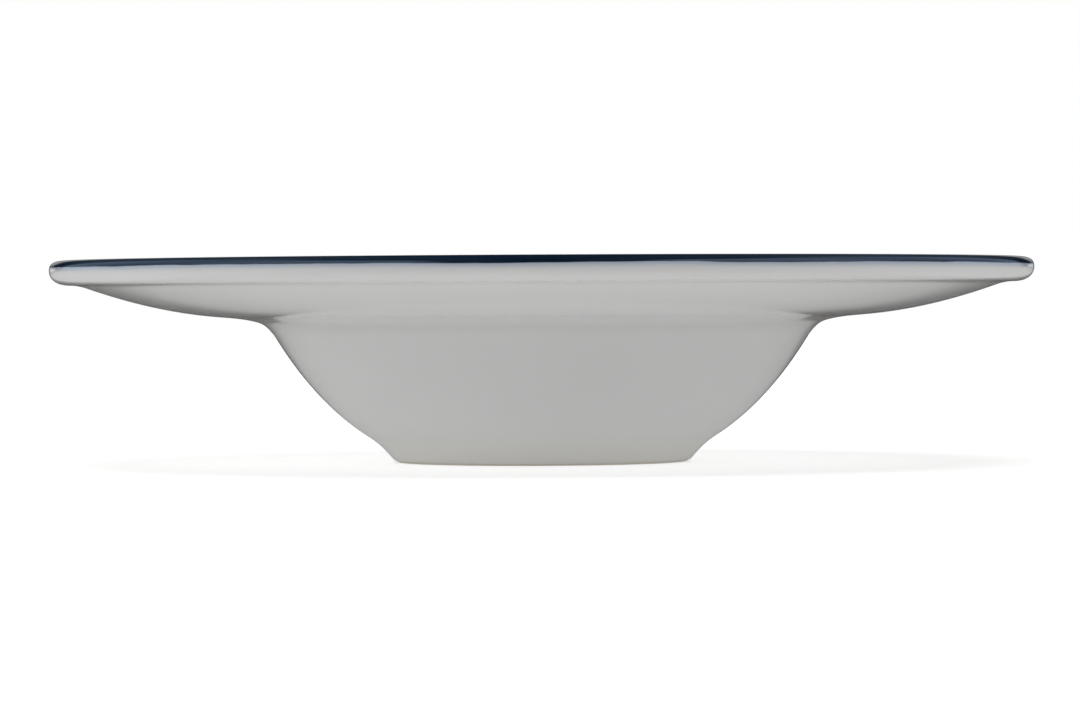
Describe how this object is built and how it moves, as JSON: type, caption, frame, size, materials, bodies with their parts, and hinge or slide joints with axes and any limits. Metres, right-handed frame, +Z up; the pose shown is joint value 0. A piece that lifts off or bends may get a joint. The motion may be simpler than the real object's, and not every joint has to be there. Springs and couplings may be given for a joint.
{
  "type": "rimmed soup plate",
  "caption": "White glazed ceramic soup plate with a deep well, a wide rim, a rolled edge with a dark blue band, and a wiped foot ring.",
  "frame": {"origin": "centre of the foot ring's standing face, on the surface the plate stands on", "axes": "+Z up along the plate's axis of turning; +X and +Y are any two directions square to it"},
  "size_m": [0.27, 0.27, 0.0558],
  "materials": {
    "fired_clay": "matte, fine-grained bare clay",
    "white_glaze": "glossy, faintly warm white",
    "blue_band": "glossy dark blue with a soft brushed edge"
  },
  "bodies": {
    "root": {"ceramic_body": "fired_clay", "upper_glaze": "white_glaze", "rim_band": "blue_band", "underside_glaze": "white_glaze", "foot_recess_glaze": "white_glaze"}
  },
  "joints": []
}
